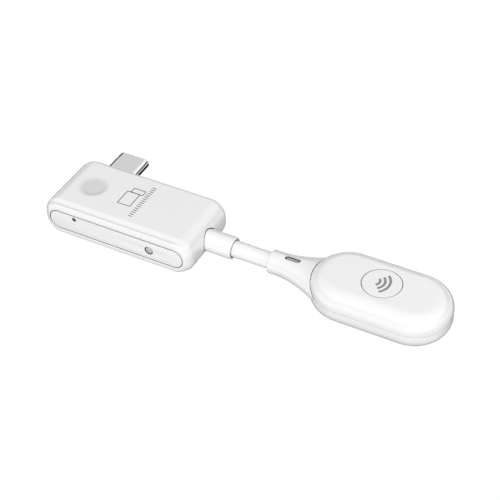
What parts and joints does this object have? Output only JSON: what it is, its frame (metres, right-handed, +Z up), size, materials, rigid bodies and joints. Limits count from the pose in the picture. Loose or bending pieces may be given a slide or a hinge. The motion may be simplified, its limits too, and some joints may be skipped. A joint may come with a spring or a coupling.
{
  "type": "wireless audio dongle",
  "caption": "Small wireless audio receiver: a rounded case with a USB-C plug, a short flexible lead and a pill-shaped radio pod with a flush pairing button.",
  "frame": {"origin": "middle of the plug case's flat base", "axes": "+X along the lead from the case to the pod, +Y the way the USB-C plug points, +Z up from the base"},
  "size_m": [0.1006, 0.0259, 0.0091],
  "materials": {
    "white_plastic": "smooth satin gloss moulding",
    "panel_plastic": "smooth satin",
    "soft_white": "smooth soft elastomer",
    "cable_jacket": "smooth soft elastomer",
    "wire_insulation": "matte",
    "lens": "frosted grey",
    "lamp": "clear",
    "dark_window": "smoked gloss",
    "plug_steel": "polished",
    "tin_plate": "satin",
    "black_plastic": "matte",
    "gold_contacts": "plated",
    "circuit_board": "solder mask",
    "ceramic": "matte",
    "dark_rubber": "matte foam"
  },
  "bodies": {
    "case": {"plug_case": "white_plastic", "front_panel": "panel_plastic", "lamp_lens": "lens", "status_lamp": "lamp", "mic_gasket": "dark_rubber", "microphone": "tin_plate", "plug_shell": "plug_steel", "plug_insulator": "black_plastic", "plug_contacts": "gold_contacts", "plug_latch": "plug_steel", "main_board": "circuit_board", "audio_chip": "black_plastic", "memory_chip": "black_plastic", "case_crystal": "tin_plate", "power_coil": "black_plastic", "case_capacitors": "ceramic", "touch_pad": "dark_rubber", "case_sleeve": "soft_white", "case_cable_end": "cable_jacket", "case_crimp": "tin_plate", "case_wires": "wire_insulation"},
    "lead": {"cable_near": "cable_jacket", "wires_near": "wire_insulation", "cable_far": "cable_jacket", "wires_far": "wire_insulation"},
    "pod": {"neck_boot": "white_plastic", "lead_anchor": "soft_white", "slot_insert": "dark_window", "pod_top": "white_plastic", "pod_bottom": "white_plastic", "pod_cable_end": "cable_jacket", "pod_crimp": "tin_plate", "pod_wires": "wire_insulation", "radio_board": "circuit_board", "radio_chip": "black_plastic", "shield_can": "tin_plate", "antenna": "ceramic", "pod_crystal": "tin_plate", "pod_capacitors": "ceramic", "board_screws": "tin_plate", "switch_body": "black_plastic", "switch_dome": "tin_plate"},
    "button": {"pair_button": "white_plastic", "switch_stem": "black_plastic"}
  },
  "joints": [
    {"name": "lead_swing", "type": "hinge", "parent": "case", "child": "lead", "pos_m": [0.02927, 0, 0.00455], "axis": [0, 0, 1], "range_deg": [-40, 40], "stiffness_Nm_per_rad": 0.03, "deforming": ["cable_near", "wires_near"]},
    {"name": "lead_lift", "type": "hinge", "parent": "lead", "child": "pod", "pos_m": [0.03402, 0, 0.00455], "axis": [0, 1, 0], "range_deg": [-40, 40], "stiffness_Nm_per_rad": 0.03, "deforming": ["cable_far", "wires_far"]},
    {"name": "button_press", "type": "slide", "parent": "pod", "child": "button", "axis": [0, 0, -1], "range_m": [0, 0.0003], "stiffness_N_per_m": 400, "deforming": ["switch_dome"]}
  ]
}
